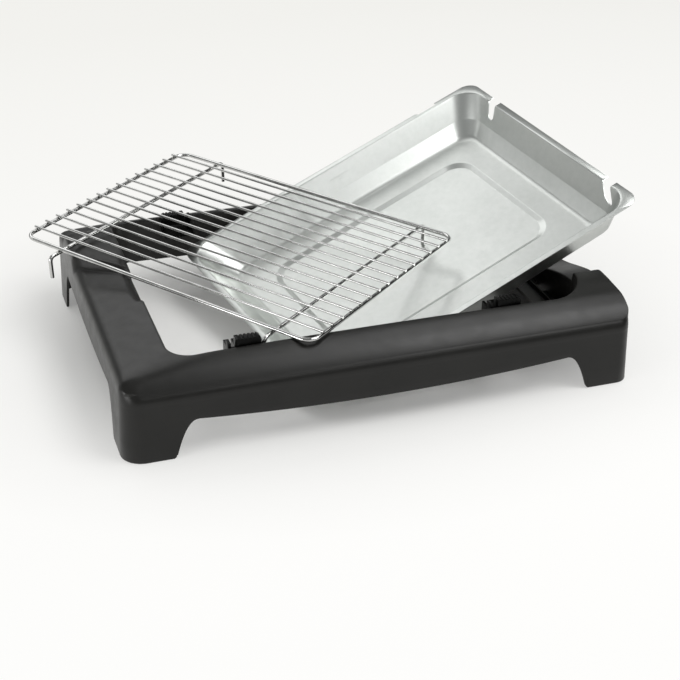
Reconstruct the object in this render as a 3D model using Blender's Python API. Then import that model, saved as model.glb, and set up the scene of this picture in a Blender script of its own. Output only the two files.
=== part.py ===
"""Table-top electric barbecue, taken apart for cleaning: a moulded stand, a drip tray dropped into it at a
slant and a wire rack laid over both. Metres, +Z up, the long front rail along +X, the back along +Y."""

import math

import bmesh
import bpy
from mathutils import Matrix, Vector

# General
CLEARANCE = 0.0003
CUT_OVERRUN = 0.004

# Stand
BASE_LENGTH = 0.480
BASE_DEPTH = 0.3638
SHELL = 0.0026
DRAFT_share = 0.0366
LEFT_CORNER_RADIUS = 0.020
RIGHT_CORNER_RADIUS = 0.014
CREASE_HEIGHT = 0.0575
CREASE_HALF = 0.0018
CREASE_DEPTH = 0.0007
LONG_RAIL_WIDTH = 0.0339
LONG_RAIL_TOP = 0.0797
LONG_RAIL_BOW = 0.0020
LEFT_RAIL_WIDTH = 0.0515
LEFT_SHOULDER_HEIGHT = 0.0742
LEFT_SHOULDER_RADIUS = 0.0080
LEFT_EDGE_HEIGHT = 0.0808
RIGHT_RAIL_WIDTH = 0.0330
RIGHT_SHOULDER_RADIUS = 0.0050
CAP_SHOULDER_HEIGHT = 0.0700
CAP_SHOULDER_RADIUS = 0.0100
BLOCK_RISE = 0.0074
BLOCK_TOP = LONG_RAIL_TOP + BLOCK_RISE
BLOCK_RISE_START = 0.0220
BLOCK_DEPTH = 0.0682
BLOCK_STEP_RUN = 0.0020
END_WALL_TOP = 0.0770
END_WALL_LOW = 0.0450
END_WALL_SLOPE_share = 0.8057
END_WALL_SLOPE_RUN = (BASE_DEPTH / 2 - BLOCK_DEPTH - BLOCK_STEP_RUN) * END_WALL_SLOPE_share
REAR_PAD_SETBACK = 0.1068
REAR_PAD_SETBACK_INNER = 0.1578
REAR_PAD_START = BASE_DEPTH - REAR_PAD_SETBACK
REAR_PAD_START_INNER = BASE_DEPTH - REAR_PAD_SETBACK_INNER
REAR_PAD_STEP_RUN = 0.0030
REAR_PAD_HEIGHT = 0.0880
REAR_PAD_LENGTH = 0.0520
REAR_PAD_END_RUN = 0.0100
OPENING_RADIUS = 0.0220
BAY_RADIUS = 0.0350
EDGE_FILLET = 0.0018
INNER_WALL_BOTTOM = 0.0345
FOOT_WIDTH = 0.0458
FOOT_DEPTH = 0.0497
ARCH_RUN = 0.0210
LONG_ARCH_HEIGHT = 0.0350
LONG_ARCH_SAG = 0.0072
SHORT_ARCH_HEIGHT = 0.0444
SHORT_ARCH_SAG = 0.0048
END_ARCH_HEIGHT = 0.0370
ARCH_power = 2.2
DOME_power = 2.0
DOME_shares = (0.02, 0.05, 0.09, 0.14, 0.20, 0.28, 0.37, 0.48, 0.60, 0.73, 0.86)
LINING_shares = (0.84, 0.62, 0.42, 0.26, 0.14, 0.05, 0.0)
FOOT_shares = (0.25, 0.55, 0.85)
ARCH_shares = (0.02, 0.07, 0.16, 0.28, 0.44, 0.66)
EDGE_shares = tuple(step / 80 for step in range(81))
SPAN_shares = (0.07, 0.15, 0.24, 0.33, 0.415, 0.5, 0.585, 0.67, 0.76, 0.85, 0.93)
CORNER_STEPS = 8

# Bay between the opening and the right end
CROSS_WALL_SETBACK = 0.0815
CROSS_WALL_X = BASE_LENGTH - CROSS_WALL_SETBACK
CROSS_WALL_THICKNESS = 0.0034
CROSS_WALL_TOP = 0.0680
BAY_FLOOR_TOP = 0.0440
BAY_FLOOR_THICKNESS = 0.0026
BAY_HOLE_SETBACK = 0.0390
BAY_HOLE_X = BASE_LENGTH - BAY_HOLE_SETBACK
BAY_HOLE_Y = 0.1190
BAY_HOLE_LENGTH = 0.0100
BAY_HOLE_WIDTH = 0.0190

# Rack supports
SUPPORT_LENGTH = 0.0300
SUPPORT_TALL_DEPTH = 0.0095
SUPPORT_DEPTH = 0.0200
SUPPORT_TOP = 0.0868
SUPPORT_SHELF_TOP = 0.0780
SUPPORT_BOTTOM = 0.0660
SUPPORT_LIP = 0.0024
SUPPORT_GAP = 0.0046
SUPPORT_GAP_FLOOR = 0.0700
SUPPORT_RIB_PITCH = 0.0036
SUPPORT_RIB_WIDTH = 0.0012
SUPPORT_RIB_DEPTH = 0.0008
SUPPORT_CORNER = 0.0030
SUPPORT_FIRST_X = 0.1024
SUPPORT_SECOND_SETBACK = 0.0503
SUPPORT_SECOND_X = CROSS_WALL_X - SUPPORT_SECOND_SETBACK
SUPPORT_REAR_SHIFT = 0.0033
SUPPORT_RIB_COUNT = 5

# Drip tray
TRAY_END_PLAY = 0.0302
TRAY_SIDE_PLAY = 0.0071
TRAY_LENGTH = CROSS_WALL_X - TRAY_END_PLAY
TRAY_WIDTH = BASE_DEPTH - LONG_RAIL_WIDTH - LONG_RAIL_WIDTH - TRAY_SIDE_PLAY
TRAY_SHEET = 0.0009
TRAY_CORNER = 0.0150
TRAY_FLANGE = 0.0065
TRAY_BEND = 0.0022
TRAY_WALL_DEPTH = 0.0205
TRAY_WALL_INSET = 0.0206
TRAY_FLOOR_DEPTH = 0.0360
TRAY_FLOOR_INSET = 0.0340
TRAY_BEAD_INSET = 0.0650
TRAY_BEAD_WIDTH = 0.0070
TRAY_BEAD_RISE = 0.0014
TRAY_FLOOR_CORNER = 0.0240
TRAY_BEAD_CORNER = 0.0200
TRAY_SLOT_WIDTH = 0.0120
TRAY_SLOT_DEPTH = 0.0170
TRAY_SLOT_NEAR = 0.0410
TRAY_SLOT_SETBACK = 0.0529
TRAY_SLOT_FAR = TRAY_WIDTH - TRAY_SLOT_SETBACK
TRAY_RECESS_SETBACK = 0.0723
TRAY_RECESS_START = TRAY_LENGTH - TRAY_RECESS_SETBACK
TRAY_RECESS_LENGTH = 0.0240
TRAY_RECESS_DEPTH = 0.0034
TRAY_ARC_STEPS = 6

# Rack
RACK_END_PLAY = 0.0227
RACK_SIDE_PLAY = 0.0504
RACK_LENGTH = TRAY_LENGTH - RACK_END_PLAY
RACK_WIDTH = TRAY_WIDTH - RACK_SIDE_PLAY
RACK_CORNER = 0.0120
RIM_WIRE = 0.0040
BAR_WIRE = 0.0026
LEG_WIRE = 0.0040
BAR_COUNT = 15
BAR_EDGE = 0.01593
BAR_PITCH = (RACK_WIDTH - BAR_EDGE - BAR_EDGE) / (BAR_COUNT - 1)
BAR_OVERHANG = 0.0020
LEG_LEFT_X = 0.0449
LEG_RIGHT_SETBACK = 0.0421
LEG_RIGHT_X = RACK_LENGTH - LEG_RIGHT_SETBACK
LEG_OVERHANG = 0.0125
LEG_DROP = 0.0220
LEG_BEND = 0.0050
WIRE_SIDES = 12
BAR_SIDES = 10
BEND_STEPS = 5
RIM_ANGLES = tuple(math.radians(step) for step in range(-80, 81, 20))

# How the loose pieces lie
TRAY_HEADING = math.radians(8.78)
TRAY_CROSS_TILT = math.radians(6.87)
TRAY_FOOT_SETBACK = 0.1802
TRAY_FOOT_X = CROSS_WALL_X - TRAY_FOOT_SETBACK
TRAY_FOOT_Y = 0.0758
RACK_HEADING = math.radians(-53.17)
RACK_TILT = math.radians(-1.94)
RACK_CROSS_TILT = math.radians(3.19)
RACK_CORNER_SETBACK = 0.0466
RACK_CORNER_X = TRAY_FOOT_X - RACK_CORNER_SETBACK
RACK_CORNER_Y = 0.0178


def clear_scene():
    for obj in list(bpy.data.objects):
        bpy.data.objects.remove(obj, do_unlink=True)


def material(name, colour, metallic, roughness):
    made = bpy.data.materials.new(name)
    made.use_nodes = True
    shader = made.node_tree.nodes["Principled BSDF"]
    shader.inputs["Base Color"].default_value = (*colour, 1.0)
    shader.inputs["Metallic"].default_value = metallic
    shader.inputs["Roughness"].default_value = roughness
    made.diffuse_color = (*colour, 1.0)
    return made


def mesh_object(name, points, faces, look, smooth=True):
    mesh = bpy.data.meshes.new(name)
    mesh.from_pydata([tuple(point) for point in points], [], faces)
    mesh.validate()
    mesh.update()
    obj = bpy.data.objects.new(name, mesh)
    bpy.context.scene.collection.objects.link(obj)
    if look:
        mesh.materials.append(look)
    if smooth:
        mesh.shade_smooth()
    return obj


def empty(name):
    obj = bpy.data.objects.new(name, None)
    bpy.context.scene.collection.objects.link(obj)
    return obj


def box_object(name, low, high, look=None):
    points = [(x, y, z) for x in (low[0], high[0]) for y in (low[1], high[1]) for z in (low[2], high[2])]
    faces = [(0, 1, 3, 2), (4, 6, 7, 5), (0, 4, 5, 1), (2, 3, 7, 6), (0, 2, 6, 4), (1, 5, 7, 3)]
    return mesh_object(name, points, faces, look, smooth=False)


def boolean(target, tool, operation):
    tool.hide_render = True
    tool.display_type = "WIRE"
    modifier = target.modifiers.new(tool.name, "BOOLEAN")
    modifier.object = tool
    modifier.operation = operation
    modifier.solver = "EXACT"
    modifier.show_render = modifier.show_viewport


def lerp(low, high, share):
    return low + (high - low) * share


def smooth_step(share):
    share = min(max(share, 0.0), 1.0)
    return share * share * (3.0 - 2.0 * share)


def along(table, value):
    """Linear reading of a table of (place, value) pairs."""
    for (place, first), (after, second) in zip(table, table[1:]):
        if value <= after:
            return lerp(first, second, max(0.0, value - place) / (after - place))
    return table[-1][1]


# Heights of the stand's top skin
def lean(height):
    return DRAFT_share * height


def dome(depth):
    """Long rails: a dome that starts at the crease, then the gentle rise of the end blocks."""
    start = lean(CREASE_HEIGHT)
    share = min(max((LONG_RAIL_WIDTH - depth) / (LONG_RAIL_WIDTH - start), 0.0), 1.0)
    rise = (LONG_RAIL_TOP - CREASE_HEIGHT) * (1.0 - share**DOME_power)
    block = BLOCK_RISE * smooth_step((depth - BLOCK_RISE_START) / (BLOCK_DEPTH - BLOCK_RISE_START))
    return CREASE_HEIGHT + rise + block


def shoulder(depth, height, radius):
    """A side that stands nearly upright and turns over a rounded shoulder."""
    reach = min(max(depth - lean(CREASE_HEIGHT), 0.0), radius)
    return height - radius + math.sqrt(max(radius**2 - (radius - reach) ** 2, 0.0))


def left_side(depth, y, x):
    turn = lean(CREASE_HEIGHT) + LEFT_SHOULDER_RADIUS
    slope = (LEFT_EDGE_HEIGHT - LEFT_SHOULDER_HEIGHT) / (LEFT_RAIL_WIDTH - turn)
    plain = shoulder(depth, LEFT_SHOULDER_HEIGHT, LEFT_SHOULDER_RADIUS) + slope * max(depth - turn, 0.0)
    share = min(max(x / LEFT_RAIL_WIDTH, 0.0), 1.0)
    start = lerp(REAR_PAD_START, REAR_PAD_START_INNER, share)
    step = smooth_step((y - start) / REAR_PAD_STEP_RUN)
    end = REAR_PAD_START + REAR_PAD_LENGTH
    step *= 1.0 - smooth_step((y - end) / REAR_PAD_END_RUN)
    pad = shoulder(depth, REAR_PAD_HEIGHT, LEFT_SHOULDER_RADIUS)
    return lerp(plain, max(plain, pad), step)


def end_wall(y):
    """The low wall of the right end between its two blocks."""
    depth = min(y, BASE_DEPTH - y)
    if depth <= BLOCK_DEPTH:
        return BLOCK_TOP
    if depth <= BLOCK_DEPTH + BLOCK_STEP_RUN:
        return lerp(BLOCK_TOP, END_WALL_TOP, (depth - BLOCK_DEPTH) / BLOCK_STEP_RUN)
    share = min((depth - BLOCK_DEPTH - BLOCK_STEP_RUN) / END_WALL_SLOPE_RUN, 1.0)
    return lerp(END_WALL_TOP, END_WALL_LOW, share)


def corner_depth(x, y):
    """Distance in from the rounded corner's line, or nothing where no corner is near."""
    across = min(x, BASE_LENGTH - x)
    down = min(y, BASE_DEPTH - y)
    radius = LEFT_CORNER_RADIUS if x < BASE_LENGTH / 2 else RIGHT_CORNER_RADIUS
    if across >= radius or down >= radius:
        return None
    return radius - math.hypot(radius - across, radius - down)


def top_height(x, y, inset=0.0):
    """Height of the top skin; with an inset, that of the lining under it."""
    heights = [dome(y - inset), dome(BASE_DEPTH - y - inset), left_side(x - inset, y, x)]
    heights.append(shoulder(BASE_LENGTH - x - inset, BLOCK_TOP, RIGHT_SHOULDER_RADIUS))
    near = corner_depth(x, y)
    if near is not None:
        heights.append(shoulder(near - inset, CAP_SHOULDER_HEIGHT, CAP_SHOULDER_RADIUS))
    if x > BASE_LENGTH - RIGHT_RAIL_WIDTH - SHELL:
        heights.append(end_wall(y))
    return min(heights) - inset


# Skirt's lower edge
def arch(distance, span, foot, height, sag):
    """Height of the skirt's lower edge at this distance along a side: feet at its ends, an arch between."""
    near = min(distance, span - distance)
    if near <= foot:
        return 0.0
    if near < foot + ARCH_RUN:
        return height * (1.0 - ((foot + ARCH_RUN - near) / ARCH_RUN) ** ARCH_power)
    middle = (2.0 * distance - span) / (span - 2.0 * (foot + ARCH_RUN))
    return height - sag * (1.0 - middle**2)


def bow(x):
    start = LEFT_RAIL_WIDTH + OPENING_RADIUS
    end = BASE_LENGTH - RIGHT_RAIL_WIDTH - BAY_RADIUS
    middle = (2.0 * x - start - end) / (end - start)
    return LONG_RAIL_BOW * max(0.0, 1.0 - middle**2)


def end_places(radius, foot):
    """Stations from a corner to the arch's full height, close together where the arch springs."""
    places = [lerp(radius, foot, share) for share in (0.0, *FOOT_shares, 1.0)]
    places += [foot + ARCH_RUN * share for share in ARCH_shares]
    return places + [foot + ARCH_RUN]


def side_places(radius, far_radius, foot, span):
    """Stations along one side, from corner to corner."""
    middle = [lerp(foot + ARCH_RUN, span - foot - ARCH_RUN, share) for share in SPAN_shares]
    far = [span - place for place in reversed(end_places(far_radius, foot))]
    return end_places(radius, foot) + middle + far


def arc_point(centre, radius, angle):
    return Vector((centre[0] + radius * math.cos(angle), centre[1] + radius * math.sin(angle)))


def long_side(stations, back):
    """Adds the front rail's stations from left to right, or the back rail's from right to left."""
    places = side_places(LEFT_CORNER_RADIUS, RIGHT_CORNER_RADIUS, FOOT_WIDTH, BASE_LENGTH)
    table = (
        (LEFT_CORNER_RADIUS, LEFT_RAIL_WIDTH + OPENING_RADIUS),
        (BASE_LENGTH - RIGHT_CORNER_RADIUS, BASE_LENGTH - RIGHT_RAIL_WIDTH - BAY_RADIUS),
    )
    if back:
        places = places[::-1]
    for x in places:
        inner_x = along(table, x)
        inner_y = LONG_RAIL_WIDTH + bow(inner_x)
        low = arch(x, BASE_LENGTH, FOOT_WIDTH, LONG_ARCH_HEIGHT, LONG_ARCH_SAG)
        normal = Vector((0, 1))
        outer = Vector((x, 0))
        inner = Vector((inner_x, inner_y))
        if back:
            normal = Vector((0, -1))
            outer.y = BASE_DEPTH
            inner.y = BASE_DEPTH - inner_y
        stations.append((outer, inner, normal, normal, low, 1.0))


def corner(stations, outer_centre, radius, inner_centre, inner_radius, start, inner_start, inner_end):
    """Adds a corner's stations between two sides; the angles turn a quarter outside, as given inside."""
    for step in range(1, CORNER_STEPS):
        share = step / CORNER_STEPS
        angle = start + share * math.pi / 2
        inner_angle = lerp(inner_start, inner_end, share)
        outer = arc_point(outer_centre, radius, angle)
        inner = arc_point(inner_centre, inner_radius, inner_angle)
        normal = (Vector(outer_centre) - outer).normalized()
        inner_normal = (Vector(inner_centre) - inner).normalized()
        along_long = abs(normal.y)
        stations.append((outer, inner, normal, inner_normal, 0.0, smooth_step(along_long)))


def right_side(stations, split):
    places = end_places(RIGHT_CORNER_RADIUS, FOOT_DEPTH)
    inner_x = BASE_LENGTH - RIGHT_RAIL_WIDTH
    arc_y = LONG_RAIL_WIDTH + BAY_RADIUS
    first = [place for place in places if place < BLOCK_DEPTH]
    lower = first + [BLOCK_DEPTH]
    slope = [BLOCK_DEPTH + BLOCK_STEP_RUN]
    slope += [BLOCK_DEPTH + BLOCK_STEP_RUN + END_WALL_SLOPE_RUN * share for share in FOOT_shares + (1.0,)]
    half = lower + slope
    both = [(place, False) for place in half] + [(place, True) for place in reversed(half)]
    centre_x = inner_x - BAY_RADIUS
    for place, mirrored in both:
        if place <= BLOCK_DEPTH:
            share = (place - RIGHT_CORNER_RADIUS) / (BLOCK_DEPTH - RIGHT_CORNER_RADIUS)
            angle = lerp(split, 0.0, share)
            centre = Vector((centre_x, arc_y))
            inner = arc_point(centre, BAY_RADIUS, angle)
            inner_normal = (centre - inner).normalized()
        else:
            inner = Vector((inner_x, place))
            inner_normal = Vector((-1, 0))
        low = arch(place, BASE_DEPTH, FOOT_DEPTH, END_ARCH_HEIGHT, SHORT_ARCH_SAG)
        outer = Vector((BASE_LENGTH, place))
        if mirrored:
            outer.y = BASE_DEPTH - place
            inner.y = BASE_DEPTH - inner.y
            inner_normal.y = -inner_normal.y
        stations.append((outer, inner, Vector((-1, 0)), inner_normal, low, 0.0))


def left_side_stations(stations):
    places = side_places(LEFT_CORNER_RADIUS, LEFT_CORNER_RADIUS, FOOT_DEPTH, BASE_DEPTH)
    edges = [REAR_PAD_START + REAR_PAD_STEP_RUN * share for share in (0.0, 0.35, 0.65, 1.0)]
    ends = [REAR_PAD_START + REAR_PAD_LENGTH + REAR_PAD_END_RUN * share for share in (0.0, 0.5, 1.0)]
    near = REAR_PAD_STEP_RUN * 2
    places = [place for place in places if all(abs(place - edge) > near for edge in edges)]
    places += edges + [place for place in ends if place < BASE_DEPTH - FOOT_DEPTH]
    places.sort(reverse=True)
    opening = LONG_RAIL_WIDTH + OPENING_RADIUS
    table = (
        (LEFT_CORNER_RADIUS, opening),
        (REAR_PAD_START, REAR_PAD_START_INNER),
        (REAR_PAD_START + REAR_PAD_STEP_RUN, REAR_PAD_START_INNER + REAR_PAD_STEP_RUN),
        (BASE_DEPTH - LEFT_CORNER_RADIUS, BASE_DEPTH - opening),
    )
    for y in places:
        low = arch(y, BASE_DEPTH, FOOT_DEPTH, SHORT_ARCH_HEIGHT, SHORT_ARCH_SAG)
        inner = Vector((LEFT_RAIL_WIDTH, along(table, y)))
        stations.append((Vector((0, y)), inner, Vector((1, 0)), Vector((1, 0)), low, 0.0))


def base_stations():
    quarter = math.pi / 2
    split = -0.40 * quarter
    opening = LONG_RAIL_WIDTH + OPENING_RADIUS
    bay_x = BASE_LENGTH - RIGHT_RAIL_WIDTH - BAY_RADIUS
    bay_y = LONG_RAIL_WIDTH + BAY_RADIUS
    left_x = LEFT_RAIL_WIDTH + OPENING_RADIUS
    left, left_far = LEFT_CORNER_RADIUS, BASE_DEPTH - LEFT_CORNER_RADIUS
    right, right_far = BASE_LENGTH - RIGHT_CORNER_RADIUS, BASE_DEPTH - RIGHT_CORNER_RADIUS
    near = RIGHT_CORNER_RADIUS
    stations = []
    long_side(stations, False)
    corner(stations, (right, near), near, (bay_x, bay_y), BAY_RADIUS, -quarter, -quarter, split)
    right_side(stations, split)
    corner(stations, (right, right_far), near, (bay_x, BASE_DEPTH - bay_y), BAY_RADIUS, 0.0, -split, quarter)
    long_side(stations, True)
    half = math.pi
    rear = (left_x, BASE_DEPTH - opening)
    corner(stations, (left, left_far), left, rear, OPENING_RADIUS, quarter, quarter, half)
    left_side_stations(stations)
    corner(stations, (left, left), left, (left_x, opening), OPENING_RADIUS, half, half, half + quarter)
    return stations


def base_section(outer, inner, normal, inner_normal, low, groove):
    """One closed slice through a rail: the outer skin from the skirt to the inner wall, then the lining."""
    limit = end_wall(outer.y) if outer.x > BASE_LENGTH - RIGHT_CORNER_RADIUS else BLOCK_TOP
    limit = min(limit, BLOCK_TOP)
    points = []

    def skirt(height, depth):
        place = outer + normal * (lean(height) + depth)
        points.append(Vector((place.x, place.y, height)))

    skirt(low, 0.0)
    skirt(min(CREASE_HEIGHT - CREASE_HALF, limit - CREASE_HALF - CREASE_HALF), 0.0)
    skirt(min(CREASE_HEIGHT, limit - CREASE_HALF), CREASE_DEPTH * groove)
    skirt(min(CREASE_HEIGHT + CREASE_HALF, limit - CREASE_HALF / 2), 0.0)
    lip = outer + normal * lean(CREASE_HEIGHT)
    edge = inner - inner_normal * EDGE_FILLET
    for share in (*DOME_shares, 1.0):
        place = lip.lerp(edge, share)
        height = max(top_height(place.x, place.y), min(CREASE_HEIGHT + CREASE_HALF, limit - CREASE_HALF / 2))
        points.append(Vector((place.x, place.y, height)))
    crest = top_height(edge.x, edge.y)
    turn = inner - inner_normal * EDGE_FILLET * 0.3
    points.append(Vector((turn.x, turn.y, crest - EDGE_FILLET * 0.3)))
    points.append(Vector((inner.x, inner.y, crest - EDGE_FILLET)))
    points.append(Vector((inner.x, inner.y, INNER_WALL_BOTTOM)))
    lining = inner - inner_normal * SHELL
    points.append(Vector((lining.x, lining.y, INNER_WALL_BOTTOM)))
    start = outer + normal * (lean(CREASE_HEIGHT) + SHELL)
    for share in (1.0, *LINING_shares):
        place = start.lerp(lining, share)
        points.append(Vector((place.x, place.y, top_height(place.x, place.y, SHELL))))
    last = points[-1].z
    inside = min(CREASE_HEIGHT - SHELL * 3, last - SHELL)
    skirt(inside, SHELL)
    skirt(min(low, inside - SHELL), SHELL)
    return points


def base_frame(look):
    sections = [base_section(*station) for station in base_stations()]
    size = len(sections[0])
    points = [point for section in sections for point in section]
    faces = []
    count = len(sections)
    for i in range(count):
        j = (i + 1) % count
        for k in range(size):
            n = (k + 1) % size
            faces.append((i * size + k, j * size + k, j * size + n, i * size + n))
    frame = mesh_object("base_frame", points, faces, look)
    reach = LONG_RAIL_WIDTH - SHELL / 2
    wall = box_object(
        "cross_wall",
        (CROSS_WALL_X, reach, INNER_WALL_BOTTOM),
        (CROSS_WALL_X + CROSS_WALL_THICKNESS, BASE_DEPTH - reach, CROSS_WALL_TOP),
    )
    floor = box_object(
        "bay_floor",
        (CROSS_WALL_X + CROSS_WALL_THICKNESS / 2, reach, BAY_FLOOR_TOP - BAY_FLOOR_THICKNESS),
        (BASE_LENGTH - RIGHT_RAIL_WIDTH + SHELL / 2, BASE_DEPTH - reach, BAY_FLOOR_TOP),
    )
    hole = box_object(
        "bay_hole",
        (BAY_HOLE_X, BAY_HOLE_Y, BAY_FLOOR_TOP - BAY_FLOOR_THICKNESS - CUT_OVERRUN),
        (BAY_HOLE_X + BAY_HOLE_LENGTH, BAY_HOLE_Y + BAY_HOLE_WIDTH, BAY_FLOOR_TOP + CUT_OVERRUN),
    )
    boolean(frame, wall, "UNION")
    boolean(frame, floor, "UNION")
    boolean(frame, hole, "DIFFERENCE")
    return frame


def rack_support(name, left_x, back, look):
    """A ribbed block against the rail's inner wall, with a lower shelf and an open U at one end."""
    middle = left_x + SUPPORT_LENGTH / 2
    wall = LONG_RAIL_WIDTH + max(bow(left_x), bow(left_x + SUPPORT_LENGTH)) + CLEARANCE
    tall = wall + SUPPORT_TALL_DEPTH
    deep = wall + SUPPORT_DEPTH
    low = SUPPORT_BOTTOM
    corner_in = SUPPORT_CORNER
    outline = [
        (0.0, low),
        (SUPPORT_LENGTH, low),
        (SUPPORT_LENGTH, SUPPORT_TOP - corner_in),
        (SUPPORT_LENGTH - corner_in * 0.3, SUPPORT_TOP - corner_in * 0.3),
        (SUPPORT_LENGTH - corner_in, SUPPORT_TOP),
        (SUPPORT_LIP + SUPPORT_GAP, SUPPORT_TOP),
        (SUPPORT_LIP + SUPPORT_GAP, SUPPORT_GAP_FLOOR),
        (SUPPORT_LIP, SUPPORT_GAP_FLOOR),
        (SUPPORT_LIP, SUPPORT_TOP - corner_in),
        (0.0, SUPPORT_TOP - corner_in),
    ]
    shelf = [(x, min(z, SUPPORT_SHELF_TOP)) for x, z in outline]
    shelf[3] = (SUPPORT_LENGTH - corner_in * 0.3, SUPPORT_SHELF_TOP)
    points = []
    layers = [(wall, outline), (tall, outline), (tall, shelf), (deep, shelf)]
    for y, line in layers:
        points += [(left_x + x, y, z) for x, z in line]
    count = len(outline)
    faces = [tuple(range(count)), tuple(3 * count + i for i in reversed(range(count)))]
    for layer in range(3):
        for i in range(count):
            j = (i + 1) % count
            first, second = layer * count, (layer + 1) * count
            faces.append((first + i, second + i, second + j, first + j))
    obj = mesh_object(name, points, faces, look, smooth=False)
    merge(obj)
    start = left_x + SUPPORT_LIP + SUPPORT_GAP + SUPPORT_RIB_PITCH
    for rib in range(SUPPORT_RIB_COUNT):
        x = start + rib * SUPPORT_RIB_PITCH
        groove = box_object(
            f"{name}_groove_{rib}",
            (x, wall - CUT_OVERRUN, SUPPORT_TOP - SUPPORT_RIB_DEPTH),
            (x + SUPPORT_RIB_WIDTH, tall + CUT_OVERRUN, SUPPORT_TOP + CUT_OVERRUN),
        )
        boolean(obj, groove, "DIFFERENCE")
        parent(groove, obj)
    if back:
        turn = Matrix.Translation((2.0 * middle, BASE_DEPTH, 0)) @ Matrix.Rotation(math.pi, 4, "Z")
        obj.matrix_world = turn
    return obj


def parent(child, owner):
    child.parent = owner


def merge(obj):
    """Joins the points that fell together and turns every face outwards."""
    made = bmesh.new()
    made.from_mesh(obj.data)
    bmesh.ops.remove_doubles(made, verts=made.verts, dist=SHELL / 1000)
    bmesh.ops.dissolve_degenerate(made, edges=made.edges, dist=SHELL / 1000)
    bmesh.ops.recalc_face_normals(made, faces=made.faces)
    made.to_mesh(obj.data)
    made.free()
    obj.data.update()


def rounded_ring(length, width, inset, radius, height, steps):
    """Points of a rounded rectangle that lies this far in from the outline."""
    low_x, low_y = inset, inset
    high_x, high_y = length - inset, width - inset
    centres = ((high_x - radius, low_y + radius), (high_x - radius, high_y - radius))
    centres += ((low_x + radius, high_y - radius), (low_x + radius, low_y + radius))
    points = []
    for turn, centre in enumerate(centres):
        start = math.pi / 2 * (turn - 1)
        for step in range(steps + 1):
            place = arc_point(centre, radius, start + math.pi / 2 * step / steps)
            points.append(Vector((place.x, place.y, height)))
    return points


def tray_rings(drop):
    """Rings of the pressed sheet from the flange to the floor's middle; drop is 0 above and 1 below."""
    sheet = TRAY_SHEET * drop
    wall_end = TRAY_WALL_INSET
    floor_start = TRAY_FLOOR_INSET
    floor_corner = TRAY_FLOOR_CORNER
    bend = TRAY_FLANGE + TRAY_BEND
    corner_at = TRAY_CORNER
    rows = [
        (0.0, corner_at, -sheet),
        (TRAY_FLANGE - sheet, corner_at - TRAY_FLANGE * 0.5, -sheet),
        (bend - sheet, corner_at - TRAY_FLANGE * 0.5, -TRAY_BEND - sheet),
        (wall_end - TRAY_BEND / 2 - sheet, corner_at, -TRAY_WALL_DEPTH + TRAY_BEND - sheet),
        (wall_end + TRAY_BEND / 2 - sheet / 2, corner_at, -TRAY_WALL_DEPTH - sheet),
        (floor_start - TRAY_BEND / 2 - sheet / 2, floor_corner, -TRAY_FLOOR_DEPTH + TRAY_BEND / 2 - sheet),
        (floor_start + TRAY_BEND, floor_corner, -TRAY_FLOOR_DEPTH - sheet),
    ]
    half = TRAY_BEAD_WIDTH / 2
    floor = -TRAY_FLOOR_DEPTH - sheet
    radius = TRAY_BEAD_CORNER
    rows += [
        (TRAY_BEAD_INSET - half, radius + half, floor),
        (TRAY_BEAD_INSET - half * 0.6, radius + half * 0.6, floor + TRAY_BEAD_RISE * 0.7),
        (TRAY_BEAD_INSET, radius, floor + TRAY_BEAD_RISE),
        (TRAY_BEAD_INSET + half * 0.6, radius - half * 0.6, floor + TRAY_BEAD_RISE * 0.7),
        (TRAY_BEAD_INSET + half, radius - half, floor),
    ]
    return [
        rounded_ring(TRAY_LENGTH, TRAY_WIDTH, inset, radius_at, height, TRAY_ARC_STEPS)
        for inset, radius_at, height in rows
    ]


def drip_tray(look):
    upper = tray_rings(0.0)
    lower = tray_rings(1.0)
    rings = list(reversed(upper)) + lower
    count = len(rings[0])
    points = [point for ring in rings for point in ring]
    faces = [tuple(range(count))]
    for layer in range(len(rings) - 1):
        for i in range(count):
            j = (i + 1) % count
            first, second = layer * count, (layer + 1) * count
            faces.append((first + i, second + i, second + j, first + j))
    last = (len(rings) - 1) * count
    faces.append(tuple(last + i for i in reversed(range(count))))
    tray = mesh_object("drip_tray", points, faces, look)
    merge(tray)
    for name, middle in (("near", TRAY_SLOT_NEAR), ("far", TRAY_SLOT_FAR)):
        slot = box_object(
            f"tray_slot_{name}",
            (TRAY_LENGTH - TRAY_WALL_INSET, middle - TRAY_SLOT_WIDTH / 2, -TRAY_SLOT_DEPTH),
            (TRAY_LENGTH + CUT_OVERRUN, middle + TRAY_SLOT_WIDTH / 2, CUT_OVERRUN),
        )
        boolean(tray, slot, "DIFFERENCE")
        parent(slot, tray)
    recess = box_object(
        "tray_recess",
        (TRAY_RECESS_START, TRAY_WIDTH - TRAY_RECESS_DEPTH, -CUT_OVERRUN),
        (TRAY_RECESS_START + TRAY_RECESS_LENGTH, TRAY_WIDTH + CUT_OVERRUN, CUT_OVERRUN),
    )
    boolean(tray, recess, "DIFFERENCE")
    parent(recess, tray)
    return tray


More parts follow.
